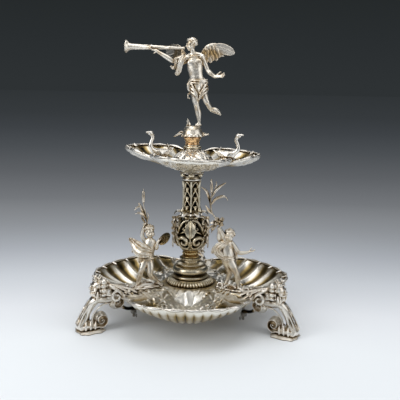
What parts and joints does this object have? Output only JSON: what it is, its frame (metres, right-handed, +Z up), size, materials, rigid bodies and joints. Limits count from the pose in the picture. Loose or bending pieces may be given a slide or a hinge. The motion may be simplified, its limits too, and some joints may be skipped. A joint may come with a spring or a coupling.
{
  "type": "table centerpiece",
  "caption": "Silver centrepiece: lobed basin on scroll feet, pierced column with child figures, upper lobed dish and winged trumpeter.",
  "frame": {"origin": "middle of the footprint's bounding box, on the table plane z = 0 at the soles", "axes": "+Z up through the column, +X to the right and +Y to the back as in the picture; the front lobe and the figures' faces look towards -Y"},
  "size_m": [0.4208, 0.435, 0.5404],
  "materials": {
    "silver": "old polished silver with dark and warm recesses",
    "cast_silver": "chased cast silver, warm in the hollows",
    "gilt_silver": "worn gilding over silver",
    "steel_hardware": "plain darkened hardware"
  },
  "bodies": {
    "stand": {"basin": "silver", "bulb_bracket_front_left": "silver", "bulb_bracket_front_right": "silver", "bulb_bracket_rear": "silver", "bulb_scrollwork": "silver", "capital": "silver", "child_front_left": "cast_silver", "child_front_right": "cast_silver", "child_rear": "cast_silver", "cymbal_front_left": "gilt_silver", "cymbal_rear": "gilt_silver", "figure_base_front_left": "silver", "figure_base_front_right": "silver", "figure_base_rear": "silver", "figure_nut_front_left": "steel_hardware", "figure_nut_front_right": "steel_hardware", "figure_nut_rear": "steel_hardware", "foot_plate_front_left": "silver", "foot_plate_front_right": "silver", "foot_plate_rear": "silver", "leg_front_left": "silver", "leg_front_right": "silver", "leg_rear": "silver", "leg_stud_front_left": "steel_hardware", "leg_stud_front_right": "steel_hardware", "leg_stud_rear": "steel_hardware", "mask_front_left": "silver", "mask_front_right": "silver", "mask_rear": "silver", "pierced_shaft": "silver", "plinth_ring": "gilt_silver", "reeds_front_left": "cast_silver", "reeds_front_right": "cast_silver", "reeds_rear": "cast_silver", "shaft_collar": "silver", "shaft_ring": "silver", "stem_foot": "silver", "stem_knop": "gilt_silver", "tie_rod": "steel_hardware", "tie_rod_nut": "steel_hardware", "tie_rod_top_nut": "steel_hardware", "tie_rod_washer": "steel_hardware"},
    "upper_tier": {"upper_dish": "silver", "dish_socket": "silver", "dish_screw": "steel_hardware", "dish_boss": "silver", "bird_front_left": "cast_silver", "bird_front_right": "cast_silver", "bird_rear": "cast_silver", "gilt_neck": "gilt_silver"},
    "finial": {"finial_mound": "silver", "angel": "cast_silver", "trumpet": "cast_silver", "wing_left": "cast_silver", "wing_right": "cast_silver", "sash": "cast_silver"},
    "wing_nut_front_left": {"leg_wing_nut_front_left": "steel_hardware"},
    "wing_nut_front_right": {"leg_wing_nut_front_right": "steel_hardware"},
    "wing_nut_rear": {"leg_wing_nut_rear": "steel_hardware"}
  },
  "joints": [
    {"name": "upper_tier_lift", "type": "slide", "parent": "stand", "child": "upper_tier", "axis": [0, 0, 1], "range_m": [0, 0.03]},
    {"name": "finial_lift", "type": "slide", "parent": "upper_tier", "child": "finial", "axis": [0, 0, 1], "range_m": [0, 0.03]},
    {"name": "wing_nut_front_left_turn", "type": "hinge", "parent": "stand", "child": "wing_nut_front_left", "pos_m": [-0.10479, -0.0785, 0.0245], "axis": [0, 0, 1], "continuous": true},
    {"name": "wing_nut_front_right_turn", "type": "hinge", "parent": "stand", "child": "wing_nut_front_right", "pos_m": [0.10479, -0.0785, 0.0245], "axis": [0, 0, 1], "continuous": true},
    {"name": "wing_nut_rear_turn", "type": "hinge", "parent": "stand", "child": "wing_nut_rear", "pos_m": [0, 0.103, 0.0245], "axis": [0, 0, 1], "continuous": true}
  ]
}
